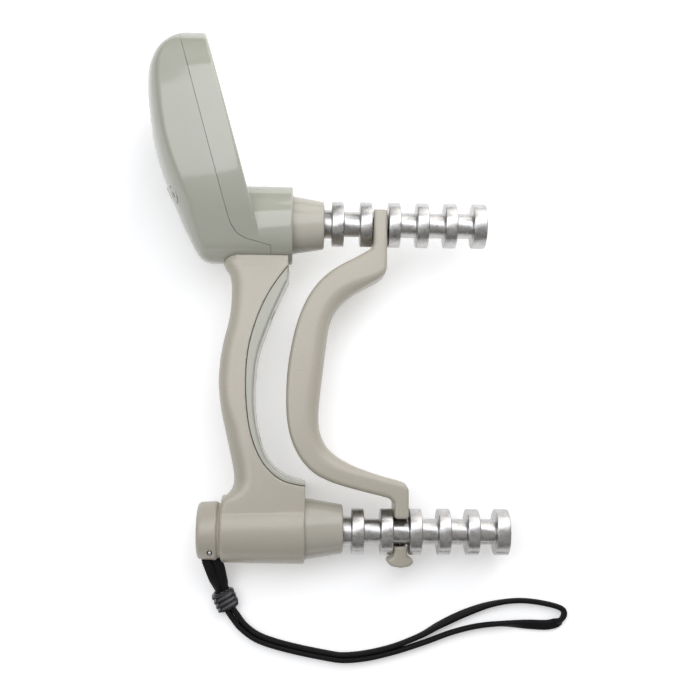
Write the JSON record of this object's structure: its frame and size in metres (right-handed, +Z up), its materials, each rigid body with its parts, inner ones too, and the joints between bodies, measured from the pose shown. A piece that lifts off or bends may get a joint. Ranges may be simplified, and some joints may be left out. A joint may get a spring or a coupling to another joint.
{
  "type": "hand grip dynamometer",
  "caption": "Electronic grip-strength tester: display head on a palm grip, two grooved posts and an adjustable finger handle, with a wrist strap.",
  "frame": {"origin": "on the table plane, under the centre of the bounding box of the instrument without its strap", "axes": "+X along the two posts towards their free ends, +Y from the strap end of the grip towards the display head, +Z up from the table the instrument lies on"},
  "size_m": [0.19, 0.2751, 0.074],
  "materials": {
    "housing_plastic": "smooth moulded plastic, warm grey, satin gloss",
    "button_plastic": "smooth moulded keys with a printed symbol",
    "painted_casting": "beige powder-coated metal casting, fine grain",
    "turned_aluminium": "bright turned metal with fine tool lines",
    "steel_hardware": "plain steel",
    "strap_webbing": "black flat braid",
    "keeper_plastic": "ribbed black plastic",
    "circuit_board": "green circuit board",
    "silicone_mat": "grey silicone",
    "tray_plastic": "dark moulded plastic",
    "display_window": "clear polished window",
    "display_panel": "grey-green reflective liquid crystal panel",
    "battery_cell": "sleeved cell with a bare end",
    "cable_sheath": "black cable sheath"
  },
  "bodies": {
    "instrument": {"front_cover": "housing_plastic", "rear_cover": "housing_plastic", "upper_boot": "housing_plastic", "lower_boot": "housing_plastic", "grip_front_cover": "housing_plastic", "lcd_window": "display_window", "lcd_panel": "display_panel", "main_board": "circuit_board", "keypad_mat": "silicone_mat", "battery_1": "battery_cell", "battery_2": "battery_cell", "battery_tray": "tray_plastic", "contact_bridge": "steel_hardware", "contact_plus": "steel_hardware", "contact_minus": "steel_hardware", "upper_post": "turned_aluminium", "lower_post": "turned_aluminium", "upper_load_cell": "steel_hardware", "lower_load_cell": "steel_hardware", "post_carrier": "steel_hardware", "carrier_screw_1": "steel_hardware", "carrier_screw_2": "steel_hardware", "upper_post_screw": "steel_hardware", "lower_post_screw": "steel_hardware", "grip_body": "painted_casting", "strap_pin": "steel_hardware", "strip_screw_1": "steel_hardware", "strip_screw_2": "steel_hardware", "cover_screw_1": "steel_hardware", "cover_screw_2": "steel_hardware", "cover_screw_3": "steel_hardware", "cover_screw_4": "steel_hardware", "cell_cable": "cable_sheath", "wrist_strap": "strap_webbing", "strap_keeper": "keeper_plastic"},
    "handle": {"handle": "painted_casting", "detent_spring": "steel_hardware"},
    "detent": {"detent_ball": "steel_hardware"},
    "units_key": {"button_units": "button_plastic"},
    "power_key": {"button_power": "button_plastic"},
    "reset_key": {"button_reset": "button_plastic"},
    "battery_door": {"battery_cover": "housing_plastic"}
  },
  "joints": [
    {"name": "handle_swing", "type": "hinge", "parent": "instrument", "child": "handle", "pos_m": [0.02334, 0.03559, 0.0306], "axis": [1, 0, 0], "range_deg": [0, 4.5]},
    {"name": "detent_press", "type": "slide", "parent": "handle", "child": "detent", "axis": [0, -0.9936, -0.1132], "range_m": [0, 0.0005], "stiffness_N_per_m": 2000, "springref_m": -0.0005},
    {"name": "units_press", "type": "slide", "parent": "instrument", "child": "units_key", "axis": [0.8768, 0.4122, -0.2475], "range_m": [0, 0.0006], "stiffness_N_per_m": 600, "springref_m": -0.0004},
    {"name": "power_press", "type": "slide", "parent": "instrument", "child": "power_key", "axis": [0.917, 0.3964, 0.0452], "range_m": [0, 0.0006], "stiffness_N_per_m": 600, "springref_m": -0.0004},
    {"name": "reset_press", "type": "slide", "parent": "instrument", "child": "reset_key", "axis": [0.8768, 0.3459, 0.3339], "range_m": [0, 0.0006], "stiffness_N_per_m": 600, "springref_m": -0.0004},
    {"name": "battery_door_pull", "type": "slide", "parent": "instrument", "child": "battery_door", "axis": [0.963, 0.2679, 0.0305], "range_m": [0, 0.015]}
  ]
}
